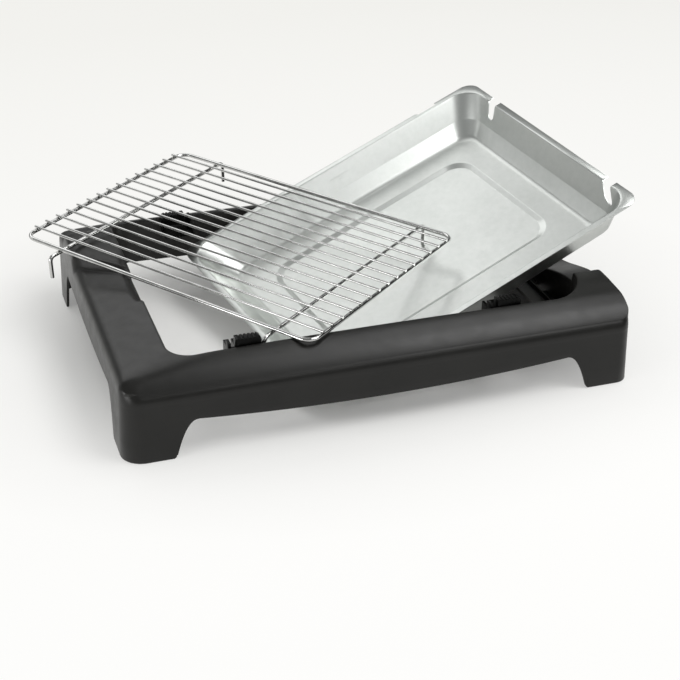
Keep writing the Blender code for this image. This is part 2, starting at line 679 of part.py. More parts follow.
def tube(name, path, diameter, sides, closed, look):
    """A round wire along a path that lies in one plane or turns gently."""
    count = len(path)
    points = []
    side = None
    for i, place in enumerate(path):
        before = path[i - 1] if i or closed else place
        after = path[(i + 1) % count] if i < count - 1 or closed else place
        tangent = (after - before).normalized()
        if side is None:
            side = tangent.orthogonal().normalized()
            if closed:
                side = tangent.cross(Vector((0, 0, 1))).normalized()
        side = (side - tangent * side.dot(tangent)).normalized()
        up = tangent.cross(side)
        ahead = (after - place).normalized() if (after - place).length else tangent
        behind = (place - before).normalized() if (place - before).length else tangent
        half = math.sqrt(max((1.0 + ahead.dot(behind)) / 2.0, 0.25))
        outward = ahead - behind
        stretch = outward.normalized() if outward.length > 1e-6 else None
        for step in range(sides):
            angle = 2.0 * math.pi * step / sides
            offset = (side * math.cos(angle) + up * math.sin(angle)) * (diameter / 2)
            if stretch:
                offset += stretch * offset.dot(stretch) * (1.0 / half - 1.0)
            points.append(place + offset)
    faces = []
    for i in range(count if closed else count - 1):
        j = (i + 1) % count
        for k in range(sides):
            n = (k + 1) % sides
            faces.append((i * sides + k, i * sides + n, j * sides + n, j * sides + k))
    if not closed:
        faces.append(tuple(reversed(range(sides))))
        faces.append(tuple((count - 1) * sides + k for k in range(sides)))
    obj = mesh_object(name, points, faces, look)
    merge(obj)
    return obj


def rack_pieces(look):
    rim_height = -(BAR_WIRE + CLEARANCE) / 2
    bar_height = rim_height + (RIM_WIRE + BAR_WIRE) / 2 + CLEARANCE
    leg_height = rim_height - (RIM_WIRE + LEG_WIRE) / 2 - CLEARANCE
    rim_path = rounded_ring(RACK_LENGTH, RACK_WIDTH, 0.0, RACK_CORNER, rim_height, TRAY_ARC_STEPS)
    made = [tube("rack_rim", rim_path, RIM_WIRE, WIRE_SIDES, True, look)]
    first = (RACK_WIDTH - BAR_PITCH * (BAR_COUNT - 1)) / 2
    for i in range(BAR_COUNT):
        y = first + BAR_PITCH * i
        ends = [Vector((-BAR_OVERHANG, y, bar_height)), Vector((RACK_LENGTH + BAR_OVERHANG, y, bar_height))]
        made.append(tube(f"rack_bar_{i + 1:02d}", ends, BAR_WIRE, BAR_SIDES, False, look))
    for name, x in (("left", LEG_LEFT_X), ("right", LEG_RIGHT_X)):
        near = -LEG_OVERHANG
        far = RACK_WIDTH + LEG_OVERHANG
        tip = leg_height - LEG_DROP
        path = [Vector((x, near, tip))]
        for step in range(BEND_STEPS + 1):
            angle = math.pi / 2 * step / BEND_STEPS
            y = near + LEG_BEND * (1.0 - math.cos(angle))
            path.append(Vector((x, y, leg_height - LEG_BEND * (1.0 - math.sin(angle)))))
        for step in range(BEND_STEPS + 1):
            angle = math.pi / 2 * (1.0 - step / BEND_STEPS)
            y = far - LEG_BEND * (1.0 - math.cos(angle))
            path.append(Vector((x, y, leg_height - LEG_BEND * (1.0 - math.sin(angle)))))
        path.append(Vector((x, far, tip)))
        made.append(tube(f"rack_leg_wire_{name}", path, LEG_WIRE, WIRE_SIDES, False, look))
    return made, rim_height


def slanted_axes(heading, tilt, cross_tilt):
    """Axes of a piece turned by its heading, raised along its length and raised across its width."""
    flat = math.cos(tilt)
    lengthwise = Vector((flat * math.cos(heading), flat * math.sin(heading), math.sin(tilt)))
    sideways = Vector((-math.sin(heading), math.cos(heading), 0.0))
    upward = lengthwise.cross(sideways)
    turn = math.asin(math.sin(cross_tilt) / max(upward.z, 0.1))
    crosswise = sideways * math.cos(turn) + upward * math.sin(turn)
    return Matrix((lengthwise, crosswise, lengthwise.cross(crosswise))).transposed()


def tray_pose(tilt):
    """The tray at this tilt with its lowest edge on the table."""
    inset = TRAY_FLOOR_INSET + TRAY_BEND
    under = -TRAY_FLOOR_DEPTH - TRAY_SHEET
    axes = slanted_axes(TRAY_HEADING, tilt, TRAY_CROSS_TILT)
    place = Vector((TRAY_FOOT_X, TRAY_FOOT_Y, 0.0)) - axes @ Vector((inset, inset, under))
    place.z = -min((axes @ point).z for ring in tray_rings(1.0) for point in ring)
    near_edge = place + axes @ Vector((0.0, inset, under))
    over_wall = near_edge + axes.col[0] * ((CROSS_WALL_X - near_edge.x) / axes.col[0].x)
    return axes, place, over_wall.z


def place_tray(holder):
    """The tray's low corner stands on the table and its underside lies on the cross wall's top."""
    low, high = math.radians(5), math.radians(45)
    for _ in range(40):
        middle = (low + high) / 2
        if tray_pose(middle)[2] < CROSS_WALL_TOP + CLEARANCE / math.cos(middle):
            low = middle
        else:
            high = middle
    axes, place, _ = tray_pose(high)
    holder.matrix_world = Matrix.Translation(place) @ axes.to_4x4()


def place_rack(holder, rim_height):
    """The rack's near right corner rests on the front rail."""
    axes = slanted_axes(RACK_HEADING, RACK_TILT, RACK_CROSS_TILT)
    corner_place = Vector((RACK_LENGTH, 0.0, rim_height))
    place = Vector((RACK_CORNER_X, RACK_CORNER_Y, 0.0)) - axes @ corner_place
    ring = rounded_ring(RACK_LENGTH, RACK_WIDTH, 0.0, RACK_CORNER, rim_height, TRAY_ARC_STEPS)
    centre = Vector((RACK_LENGTH / 2, RACK_WIDTH / 2, rim_height))
    lifts = []
    for first, second in zip(ring, ring[1:] + ring[:1]):
        side = (axes @ (second - first)).cross(axes.col[2]).normalized()
        for share in EDGE_shares:
            middle = place + axes @ first.lerp(second, share)
            for angle in RIM_ANGLES:
                spot = middle + (side * math.sin(angle) - axes.col[2] * math.cos(angle)) * (RIM_WIRE / 2)
                if 0 < spot.y < LONG_RAIL_WIDTH + bow(spot.x):
                    lifts.append(top_height(spot.x, spot.y) - spot.z)
    lift = max(lifts) if lifts else -(place + axes @ centre).z
    place.z += lift + CLEARANCE
    holder.matrix_world = Matrix.Translation(place) @ axes.to_4x4()


def centre_on_ground(roots, solids):
    """Moves everything so that the box's middle is on the axis and its lowest point on the ground."""
    bpy.context.view_layer.update()
    graph = bpy.context.evaluated_depsgraph_get()
    corners = []
    for solid in solids:
        seen = solid.evaluated_get(graph)
        mesh = seen.to_mesh()
        corners += [seen.matrix_world @ vertex.co for vertex in mesh.vertices]
        seen.to_mesh_clear()
    low = Vector([min(point[axis] for point in corners) for axis in range(3)])
    high = Vector([max(point[axis] for point in corners) for axis in range(3)])
    shift = Vector((-(low.x + high.x) / 2, -(low.y + high.y) / 2, -low.z))
    for root in roots:
        root.matrix_world = Matrix.Translation(shift) @ root.matrix_world
    print("moved by", [round(value, 6) for value in shift])


def main():
    clear_scene()
    plastic = material("black_plastic", (0.022, 0.022, 0.023), 0.0, 0.42)
    clip_plastic = material("black_clip_plastic", (0.015, 0.015, 0.016), 0.0, 0.5)
    sheet = material("galvanised_sheet", (0.60, 0.62, 0.62), 0.9, 0.34)
    wire = material("bright_wire", (0.62, 0.62, 0.61), 1.0, 0.2)
    stand = empty("stand")
    tray_holder = empty("tray_lift")
    rack_holder = empty("rack_lift")
    frame = base_frame(plastic)
    helpers = [modifier.object for modifier in frame.modifiers]
    rear_x = SUPPORT_REAR_SHIFT
    supports = [
        rack_support("rack_support_front_left", SUPPORT_FIRST_X, False, clip_plastic),
        rack_support("rack_support_front_right", SUPPORT_SECOND_X, False, clip_plastic),
        rack_support("rack_support_back_left", SUPPORT_FIRST_X + rear_x, True, clip_plastic),
        rack_support("rack_support_back_right", SUPPORT_SECOND_X + rear_x, True, clip_plastic),
    ]
    for obj in (frame, *helpers, *supports):
        parent(obj, stand)
    tray = drip_tray(sheet)
    parent(tray, tray_holder)
    rack, rim_height = rack_pieces(wire)
    for obj in rack:
        parent(obj, rack_holder)
    place_tray(tray_holder)
    place_rack(rack_holder, rim_height)
    centre_on_ground((stand, tray_holder, rack_holder), (frame, *supports, tray, *rack))


main()
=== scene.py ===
"""Looks of a table-top electric barbecue: a moulded stand, a pressed drip tray and a wire rack."""

import math

import bmesh
import bpy
from mathutils import Matrix, Vector


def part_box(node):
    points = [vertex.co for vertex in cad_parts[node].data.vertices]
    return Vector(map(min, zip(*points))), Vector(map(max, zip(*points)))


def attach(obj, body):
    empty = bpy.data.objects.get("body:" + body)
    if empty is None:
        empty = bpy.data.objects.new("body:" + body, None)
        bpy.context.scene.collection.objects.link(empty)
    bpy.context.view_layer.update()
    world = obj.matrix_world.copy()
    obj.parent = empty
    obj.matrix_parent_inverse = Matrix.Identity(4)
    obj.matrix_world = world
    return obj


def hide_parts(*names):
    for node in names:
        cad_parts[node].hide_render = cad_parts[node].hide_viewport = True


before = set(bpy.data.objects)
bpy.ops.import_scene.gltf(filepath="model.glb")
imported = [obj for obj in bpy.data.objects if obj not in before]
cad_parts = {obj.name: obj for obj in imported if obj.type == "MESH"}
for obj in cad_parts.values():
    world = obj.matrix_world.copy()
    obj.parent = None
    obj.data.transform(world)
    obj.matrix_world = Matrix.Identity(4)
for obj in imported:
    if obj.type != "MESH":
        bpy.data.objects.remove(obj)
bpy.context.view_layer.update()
STAND_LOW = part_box("base_frame")[0]
ORIGIN = Matrix.Translation((STAND_LOW.x, STAND_LOW.y, 0.0))

# Stand, in metres from its front left corner
LENGTH, DEPTH, SHELL = 0.480, 0.3638, 0.0026
DRAFT = 0.0366
LEFT_RADIUS, RIGHT_RADIUS = 0.020, 0.014
FOLD_Z, FOLD_RISE, FOLD_OUT, ROLL_R = 0.0515, 0.0035, 0.0003, 0.0120
DOME_LOW = FOLD_Z + FOLD_RISE + ROLL_R * math.sin(math.pi / 4)
DOME_IN = ROLL_R * (1.0 - math.cos(math.pi / 4)) - FOLD_OUT
RAIL, RAIL_TOP, BOW = 0.0339, 0.0797, 0.0020
LEFT_RAIL, LEFT_Z, LEFT_R, LEFT_EDGE_Z = 0.0515, 0.0744, 0.0110, 0.0808
RIGHT_RAIL, RIGHT_R = 0.0330, 0.0050
SCOOP_START, SCOOP_END, SCOOP_DROP = 0.150, 0.228, 0.0062
BLOCK_RISE, BLOCK_START, BLOCK_DEPTH, BLOCK_STEP = 0.0074, 0.0220, 0.0682, 0.0020
BLOCK_TOP = RAIL_TOP + BLOCK_RISE
END_TOP, END_LOW, END_RUN = 0.0770, 0.0590, 0.0960
PAD_START, PAD_INNER, PAD_STEP, PAD_Z = DEPTH - 0.1068, DEPTH - 0.1578, 0.0100, 0.0880
PAD_LENGTH, PAD_END = 0.0520, 0.0100
OPENING_R, BAY_R = 0.0220, 0.0350
FILLET, WALL_LOW = 0.0018, 0.0345
FOOT_X, FOOT_Y, ARCH_RUN, FOOT_ROUND = 0.0458, 0.0497, 0.0210, 0.0030
DOME_POWER, ARCH_POWER = 0.95, 2.2
LEFT_BLEND, RIGHT_BLEND = 0.0080, 0.0045
SCOOP_EDGE, SCOOP_IN, SCOOP_RUN = 0.006, 0.0430, 0.0080
LONG_ARCH, LEFT_ARCH, RIGHT_ARCH = 0.0350, 0.0444, 0.0370
LONG_SAG, SIDE_SAG = 0.0072, 0.0048
END_ROOM = 0.0130

# Bay at the stand's right end
CROSS_WALL_X, CROSS_WALL, CROSS_WALL_TOP = LENGTH - 0.0815, 0.0034, 0.0680
BAY_FLOOR_Z, BAY_FLOOR = 0.0440, 0.0026
HOLE_X, HOLE_Y, HOLE_LENGTH, HOLE_DEPTH = LENGTH - 0.0390, 0.1190, 0.0100, 0.0190
LEDGE_END, LEDGE_TOP = CROSS_WALL_X + 0.0120, 0.0520
RIB_X, RIB, RIB_TOP = LENGTH - 0.0420, 0.0015, 0.0480

# Tray, in its own frame from its near left corner
TRAY_L, TRAY_W, TRAY_SHEET = 0.3683, 0.2889, 0.0009
TRAY_CORNER = (-0.0626037, -0.1881511, 0.0152203)
TRAY_HEADING, TRAY_RISE, TRAY_CROSS = 8.78, 20.9934, 6.87
NEAR_STEEP, NEAR_START, NEAR_RUN, NEAR_DEPTH = 0.0115, 0.0340, 0.0260, 0.0200
SLOT_NEAR, SLOT_FAR, SLOT_HALF, SLOT_END = 0.0410, TRAY_W - 0.0529, 0.0050, 0.0090
SLOT_LIP, SLOT_REACH = 0.0030, 0.0260
RECESS_START, RECESS_LENGTH, RECESS_DEPTH = TRAY_L - 0.0723, 0.0240, 0.0034

# Rack, in its own frame from a corner of its rim
RACK_L, RACK_W, RACK_RADIUS = 0.3456, 0.2385, 0.0120
RACK_CORNER = (-0.2777732, 0.0772868, 0.0956934)
RACK_HEADING, RACK_RISE, RACK_CROSS = -53.17, -1.94, 3.19
RIM_WIRE, BAR_WIRE, LEG_WIRE, WIRE_GAP = 0.0040, 0.0026, 0.0040, 0.0003
BAR_COUNT, BAR_EDGE, BAR_OVER = 15, 0.01593, 0.0020
LEG_LEFT, LEG_RIGHT = 0.0449, RACK_L - 0.0421
LEG_OVER, LEG_DROP, LEG_BEND = 0.0125, 0.0220, 0.0050

# Camera, and the softboxes: compass turn and rise in degrees, distance, width, height and glow
CAMERA_PLACE = (-0.387831, -1.215750, 0.656129)
CAMERA_TURN, CAMERA_DIP, CAMERA_ROLL, CAMERA_LENS = 18.6519, 28.1909, 0.3375, 74.22
SOFTBOXES = {
    "key": (134.0, 50.0, 1.75, 0.85, 0.75, 5.4),
    "strip": (167.0, 31.0, 1.75, 0.66, 0.24, 2.6),
    "top": (100.0, 68.0, 1.60, 1.10, 0.80, 3.2),
    "back": (-16.0, 45.0, 1.80, 1.25, 1.30, 1.42),
    "far_left": (-62.0, 21.0, 1.80, 0.90, 0.55, 1.00),
    "left": (-112.0, 10.0, 1.60, 0.85, 0.55, 5.6),
}
WORLD_GLOW, DARK_GLOW, BACKDROP_GLOW, DARK_SIDE = 0.27, 0.04, 0.90, (0.839, 0.0, 0.545)


def lerp(low, high, share):
    return low + (high - low) * share


def clamp(value):
    return min(max(value, 0.0), 1.0)


def smooth(share):
    share = clamp(share)
    return share * share * (3.0 - 2.0 * share)


def seated(heading, rise, cross, place):
    """A piece's frame, from the heading and rise of its length and the rise of its width, in degrees."""
    heading, rise, cross = math.radians(heading), math.radians(rise), math.radians(cross)
    level = Vector((-math.sin(heading), math.cos(heading), 0.0))
    length = Vector((math.cos(heading) * math.cos(rise), math.sin(heading) * math.cos(rise), math.sin(rise)))
    lift = math.sin(cross) / math.cos(rise)
    width = level * math.sqrt(1.0 - lift * lift) + length.cross(level) * lift
    turn = Matrix((length, width, length.cross(width))).transposed()
    return Matrix.Translation(place) @ turn.to_4x4()


def along(table, value):
    """The height of a bent line of (place, height) pairs."""
    for (place, first), (after, second) in zip(table, table[1:]):
        if value <= after:
            return lerp(first, second, max(0.0, value - place) / (after - place))
    return table[-1][1]


def finer(places, count):
    """The same places with more between them."""
    made = []
    for first, second in zip(places, places[1:]):
        made += [lerp(first, second, step / count) for step in range(count)]
    return made + [places[-1]]


TRAY = seated(TRAY_HEADING, TRAY_RISE, TRAY_CROSS, TRAY_CORNER)
RACK = seated(RACK_HEADING, RACK_RISE, RACK_CROSS, RACK_CORNER)


# Meshes
def new_mesh(name, points, faces, material, matrix, limit=35.0):
    mesh = bpy.data.meshes.new(name)
    mesh.from_pydata([tuple(point) for point in points], [], faces)
    obj = bpy.data.objects.new(name, mesh)
    bpy.context.scene.collection.objects.link(obj)
    mesh.materials.append(material)
    mesh.transform(matrix)
    tidy_mesh(obj, limit)
    return obj


def tidy_mesh(obj, limit=35.0):
    """Joins doubled points, turns faces outwards, and keeps only the real corners sharp."""
    made = bmesh.new()
    made.from_mesh(obj.data)
    bmesh.ops.remove_doubles(made, verts=made.verts, dist=2e-6)
    bmesh.ops.dissolve_degenerate(made, edges=made.edges, dist=1e-6)
    bmesh.ops.recalc_face_normals(made, faces=made.faces)
    for face in made.faces:
        face.smooth = True
    for edge in made.edges:
        edge.smooth = edge.is_manifold and edge.calc_face_angle(0.0) < math.radians(limit)
    made.to_mesh(obj.data)
    made.free()


def apply_modifiers(obj):
    graph = bpy.context.evaluated_depsgraph_get()
    made = bpy.data.meshes.new_from_object(obj.evaluated_get(graph))
    obj.modifiers.clear()
    obj.data = made


def box(name, low, high, material, matrix, edge=0.0006):
    points = [(x, y, z) for x in (low[0], high[0]) for y in (low[1], high[1]) for z in (low[2], high[2])]
    faces = [(0, 1, 3, 2), (4, 6, 7, 5), (0, 4, 5, 1), (2, 3, 7, 6), (0, 2, 6, 4), (1, 5, 7, 3)]
    obj = new_mesh(name, points, faces, material, matrix)
    if edge:
        bevel(obj, edge, 3)
    return obj


def bevel(obj, width, segments, angle=30.0):
    modifier = obj.modifiers.new("edges", "BEVEL")
    modifier.width = width
    modifier.segments = segments
    modifier.limit_method = "ANGLE"
    modifier.angle_limit = math.radians(angle)
    modifier.harden_normals = False
    apply_modifiers(obj)
    tidy_mesh(obj, 40.0)


def cut(target, tools):
    for tool in tools:
        modifier = target.modifiers.new("cut", "BOOLEAN")
        modifier.object = tool
        modifier.operation = "DIFFERENCE"
        modifier.solver = "EXACT"
    apply_modifiers(target)
    for tool in tools:
        bpy.data.objects.remove(tool, do_unlink=True)


def prism(name, outline, low, high, axis, material, matrix):
    """An outline extruded along an axis: 0 takes (y, z) outlines and 2 takes (x, y) ones."""
    points = []
    for level in (low, high):
        for a, b in outline:
            points.append({0: (level, a, b), 2: (a, b, level)}[axis])
    count = len(outline)
    faces = [tuple(range(count)), tuple(count + i for i in reversed(range(count)))]
    faces += [(i, (i + 1) % count, count + (i + 1) % count, count + i) for i in range(count)]
    return new_mesh(name, points, faces, material, matrix)


# Materials
class Nodes:
    """A short way to write a material's nodes."""

    def __init__(self, name):
        self.material = bpy.data.materials.new(name)
        self.material.use_nodes = True
        self.tree = self.material.node_tree
        self.shader = self.tree.nodes["Principled BSDF"]

    def add(self, kind, **values):
        node = self.tree.nodes.new(kind)
        for key, value in values.items():
            setattr(node, key, value)
        return node

    def link(self, out, into):
        self.tree.links.new(out, into)

    def coords(self, scale, matrix=None):
        """Places in the object's space, or along the axes of the matrix, times the scale."""
        place = self.add("ShaderNodeTexCoord")
        mapping = self.add("ShaderNodeMapping", vector_type="TEXTURE")
        mapping.inputs["Scale"].default_value = [1.0 / value for value in scale]
        if matrix:
            mapping.inputs["Rotation"].default_value = matrix.to_euler()
        self.link(place.outputs["Object"], mapping.inputs["Vector"])
        return mapping.outputs["Vector"]

    def noise(self, scale, size, detail=3.0, rough=0.5, matrix=None):
        node = self.add("ShaderNodeTexNoise")
        node.inputs["Scale"].default_value = size
        node.inputs["Detail"].default_value = detail
        node.inputs["Roughness"].default_value = rough
        self.link(self.coords(scale, matrix), node.inputs["Vector"])
        return node.outputs["Fac"]

    def ramp(self, value, stops):
        node = self.add("ShaderNodeValToRGB")
        elements = node.color_ramp.elements
        while len(elements) < len(stops):
            elements.new(0.5)
        for element, (place, colour) in zip(elements, stops):
            element.position = place
            element.color = (*colour, 1.0)
        self.link(value, node.inputs["Fac"])
        return node.outputs["Color"]

    def remap(self, value, low, high, to_low, to_high):
        node = self.add("ShaderNodeMapRange")
        for key, number in (("From Min", low), ("From Max", high), ("To Min", to_low), ("To Max", to_high)):
            node.inputs[key].default_value = number
        self.link(value, node.inputs["Value"])
        return node.outputs["Result"]

    def bump(self, value, distance, strength=1.0, under=None):
        node = self.add("ShaderNodeBump")
        node.inputs["Distance"].default_value = distance
        node.inputs["Strength"].default_value = strength
        self.link(value, node.inputs["Height"])
        if under:
            self.link(under, node.inputs["Normal"])
        self.link(node.outputs["Normal"], self.shader.inputs["Normal"])
        return node.outputs["Normal"]

    def set(self, **values):
        for key, value in values.items():
            self.shader.inputs[key.replace("_", " ")].default_value = value


def moulded_plastic(name, colour, rough, grain, deep, shine):
    """Moulded plastic with a fine grain of a given size and depth, rubbed a little smoother in places."""
    made = Nodes(name)
    tint = made.noise((1, 1, 1), 26.0, 4.0, 0.55)
    dark = tuple(value * 0.86 for value in colour)
    light = tuple(value * 1.16 for value in colour)
    made.link(made.ramp(tint, [(0.3, dark), (0.7, light)]), made.shader.inputs["Base Color"])
    rubbed = made.noise((1, 1, 1), 90.0, 5.0, 0.6)
    made.link(made.remap(rubbed, 0.3, 0.7, *rough), made.shader.inputs["Roughness"])
    fine = made.noise((1, 1, 1), grain, 2.0, 0.5)
    made.bump(fine, deep, 0.5)
    made.set(Specular_IOR_Level=shine)
    return made.material


def pressed_sheet():
    """Zinc-coated sheet: faint clouds and flecks, a fine lengthwise grain and a small spangle."""
    made = Nodes("zinc_sheet")
    cloud = made.noise((1, 1, 1), 11.0, 5.0, 0.6)
    fleck = made.noise((1, 1, 1), 150.0, 4.0, 0.65)
    drawn = made.noise((2.0, 40, 40), 9.0, 3.0, 0.55, TRAY)
    mix = made.add("ShaderNodeMath", operation="MULTIPLY_ADD")
    mix.inputs[1].default_value = 0.5
    made.link(cloud, mix.inputs[0])
    half = made.add("ShaderNodeMath", operation="MULTIPLY")
    half.inputs[1].default_value = 0.5
    made.link(fleck, half.inputs[0])
    made.link(half.outputs[0], mix.inputs[2])
    stops = [
        (0.36, (0.550, 0.570, 0.549)),
        (0.50, (0.578, 0.596, 0.576)),
        (0.64, (0.606, 0.622, 0.603)),
    ]
    made.link(made.ramp(mix.outputs[0], stops), made.shader.inputs["Base Color"])
    made.link(made.remap(mix.outputs[0], 0.35, 0.65, 0.36, 0.30), made.shader.inputs["Roughness"])
    spangle = made.add("ShaderNodeTexVoronoi")
    spangle.inputs["Scale"].default_value = 260.0
    made.link(made.coords((1, 1, 1)), spangle.inputs["Vector"])
    under = made.bump(spangle.outputs["Distance"], 0.00003, 0.25)
    under = made.bump(drawn, 0.00004, 0.25, under)
    made.bump(fleck, 0.00004, 0.25, under)
    made.set(Metallic=0.95)
    return made.material


def bright_wire():
    """Plated wire, a little duller in spots."""
    made = Nodes("plated_wire")
    spots = made.noise((1, 1, 1), 60.0, 4.0, 0.6)
    stops = [(0.35, (0.52, 0.52, 0.51)), (0.65, (0.66, 0.66, 0.65))]
    made.link(made.ramp(spots, stops), made.shader.inputs["Base Color"])
    made.link(made.remap(spots, 0.3, 0.7, 0.07, 0.15), made.shader.inputs["Roughness"])
    drawn = made.noise((1, 1, 1), 900.0, 2.0, 0.5)
    made.bump(drawn, 0.00003, 0.2)
    made.set(Metallic=1.0)
    return made.material


BLACK = moulded_plastic("moulded_black", (0.0100, 0.0098, 0.0088), (0.30, 0.38), 1500.0, 0.00005, 0.30)
# The inside black is the same plastic painted about twice as light, as painted fill light for the inner
# walls, which lie in shade.
INSIDE_PAINTED_LIGHTER = moulded_plastic(
    "moulded_black_inside_painted_lighter", (0.0190, 0.0182, 0.0168), (0.30, 0.42), 700.0, 0.00004, 0.35
)
CLIP = moulded_plastic("clip_black", (0.0022, 0.0022, 0.0020), (0.24, 0.34), 900.0, 0.00005, 0.10)
SHEET = pressed_sheet()
WIRE = bright_wire()


# Heights of the stand's skin
def lean(height):
    """How far the skirt has leaned in at a height."""
    return DRAFT * height


def dome(depth):
    """Height of the long rails' domed top, which keeps rising inwards to form the right end's blocks."""
    start = lean(DOME_LOW) + DOME_IN
    share = clamp((RAIL - depth) / (RAIL - start))
    block = BLOCK_RISE * smooth((depth - BLOCK_START) / (BLOCK_DEPTH - BLOCK_START))
    return DOME_LOW + (RAIL_TOP - DOME_LOW) * (1.0 - share * share) ** DOME_POWER + block


def shoulder(depth, height, radius):
    """Height of a flat top with a rounded outer edge."""
    reach = min(max(depth - lean(height - radius), 0.0), radius)
    return height - radius + math.sqrt(max(radius**2 - (radius - reach) ** 2, 0.0))


def left_side(depth, y, x):
    """Height of the left rail: its sloping top, the pad at its rear and the scoop in its inner edge."""
    turn = lean(LEFT_Z - LEFT_R) + LEFT_R
    slope = (LEFT_EDGE_Z - LEFT_Z) / (LEFT_RAIL - turn)
    plain = shoulder(depth, LEFT_Z, LEFT_R) + slope * max(depth - turn, 0.0)
    start = lerp(PAD_START, PAD_INNER, clamp(x / LEFT_RAIL)) - PAD_STEP * 0.35
    step = smooth((y - start) / PAD_STEP)
    step *= 1.0 - smooth((y - PAD_START - PAD_LENGTH) / PAD_END)
    height = lerp(plain, max(plain, shoulder(depth, PAD_Z, LEFT_R)), step)
    scoop = smooth((y - SCOOP_START) / SCOOP_EDGE) * (1.0 - smooth((y - SCOOP_END) / SCOOP_EDGE))
    return height - SCOOP_DROP * scoop * smooth((x - SCOOP_IN) / SCOOP_RUN)


def end_wall(y):
    """Height of the right end wall, which dips between its two blocks."""
    depth = min(y, DEPTH - y)
    if depth <= BLOCK_DEPTH:
        return BLOCK_TOP
    if depth <= BLOCK_DEPTH + BLOCK_STEP:
        return lerp(BLOCK_TOP, END_TOP, (depth - BLOCK_DEPTH) / BLOCK_STEP)
    return lerp(END_TOP, END_LOW, smooth((depth - BLOCK_DEPTH - BLOCK_STEP) / END_RUN))


def corner_place(x, y):
    """Depth in from a rounded outer corner, and the way round it: 0 at the end, 1 at the long side."""
    across, down = min(x, LENGTH - x), min(y, DEPTH - y)
    radius = LEFT_RADIUS if x < LENGTH / 2 else RIGHT_RADIUS
    if across >= radius or down >= radius:
        return None
    turned = math.atan2(radius - down, radius - across) / (math.pi / 2)
    return radius - math.hypot(radius - across, radius - down), smooth(turned)


def soft_min(first, second, blend):
    """The lower of two heights, with the ridge where they meet rounded off."""
    return min(first, second) - max(blend - abs(first - second), 0.0) ** 2 / (4.0 * blend)


def top_height(x, y, inset=0.0):
    """Height of the stand's top, or of the inside of its skin at an inset."""
    down, across = min(y, DEPTH - y), min(x, LENGTH - x)
    left = x < LENGTH / 2

    def end_side(depth):
        if left:
            return left_side(depth - inset, y, x)
        return shoulder(depth - inset, BLOCK_TOP, RIGHT_R)

    first, second = dome(down - inset), end_side(across)
    corner_at = corner_place(x, y)
    if corner_at and not left:
        second = end_side(corner_at[0])
    elif corner_at:
        near, turned = corner_at
        first, second = lerp(end_side(near), dome(near - inset), turned), lerp(first, second, turned)
    height = soft_min(first, second, LEFT_BLEND if left else RIGHT_BLEND)
    if x > LENGTH - RIGHT_RAIL - SHELL:
        height = min(height, end_wall(y))
    return height - inset


def arch(distance, span, foot, height, sag):
    """Height of a skirt's lower edge: rounded feet at both ends, and a sagging arch between them."""
    near = min(distance, span - distance)
    if near <= foot:
        reach = clamp((near - foot + FOOT_ROUND) / FOOT_ROUND)
        return FOOT_ROUND * (1.0 - math.sqrt(1.0 - reach * reach))
    if near < foot + ARCH_RUN:
        return max(height * (1.0 - ((foot + ARCH_RUN - near) / ARCH_RUN) ** ARCH_POWER), FOOT_ROUND)
    middle = (2.0 * distance - span) / (span - 2.0 * (foot + ARCH_RUN))
    return height - sag * (1.0 - middle**2)


def bow(x):
    """How much wider the long rails are towards their middle."""
    start, end = LEFT_RAIL + OPENING_R, LENGTH - RIGHT_RAIL - BAY_R
    middle = (2.0 * x - start - end) / (end - start)
    return BOW * max(0.0, 1.0 - middle**2)


def end_places(radius, foot):
    """Places along a side from its corner to the top of the arch, close together where the edge turns."""
    places = [lerp(radius, foot, share) for share in (0.0, 0.25, 0.55, 0.80)]
    places += [foot - FOOT_ROUND * share for share in (1.0, 0.6, 0.35, 0.15, 0.05, 0.0)]
    places += [foot + ARCH_RUN * share for share in (0.02, 0.07, 0.16, 0.28, 0.44, 0.66)]
    return places + [foot + ARCH_RUN]


def side_places(radius, far_radius, foot, span):
    shares = (0.07, 0.15, 0.24, 0.33, 0.415, 0.5, 0.585, 0.67, 0.76, 0.85, 0.93)
    middle = [lerp(foot + ARCH_RUN, span - foot - ARCH_RUN, share) for share in shares]
    far_end = [span - place for place in reversed(end_places(far_radius, foot))]
    return end_places(radius, foot) + middle + far_end


def arc_point(centre, radius, angle):
    return Vector((centre[0] + radius * math.cos(angle), centre[1] + radius * math.sin(angle)))


def long_side(stations, back):
    """Adds a long rail's stations: outer and inner place, their normals, lower edge and share of crease."""
    places = finer(side_places(LEFT_RADIUS, RIGHT_RADIUS, FOOT_X, LENGTH), 3)
    table = ((LEFT_RADIUS, LEFT_RAIL + OPENING_R), (LENGTH - RIGHT_RADIUS, LENGTH - RIGHT_RAIL - BAY_R))
    for x in places[::-1] if back else places:
        inner_x = along(table, x)
        inner_y = RAIL + bow(inner_x)
        low = arch(x, LENGTH, FOOT_X, LONG_ARCH, LONG_SAG)
        normal = Vector((0, -1 if back else 1))
        outer = Vector((x, DEPTH if back else 0.0))
        inner = Vector((inner_x, DEPTH - inner_y if back else inner_y))
        stations.append((outer, inner, normal, normal, low, 1.0))


def corner(stations, centre, radius, inner_centre, inner_radius, start, inner_start, inner_end):
    for step in range(1, 18):
        share = step / 18
        outer = arc_point(centre, radius, start + share * math.pi / 2)
        inner = arc_point(inner_centre, inner_radius, lerp(inner_start, inner_end, share))
        normal = (Vector(centre) - outer).normalized()
        inner_normal = (Vector(inner_centre) - inner).normalized()
        turned = math.asin(min(abs(normal.y), 1.0)) / (math.pi / 2)
        stations.append((outer, inner, normal, inner_normal, 0.0, smooth(turned)))


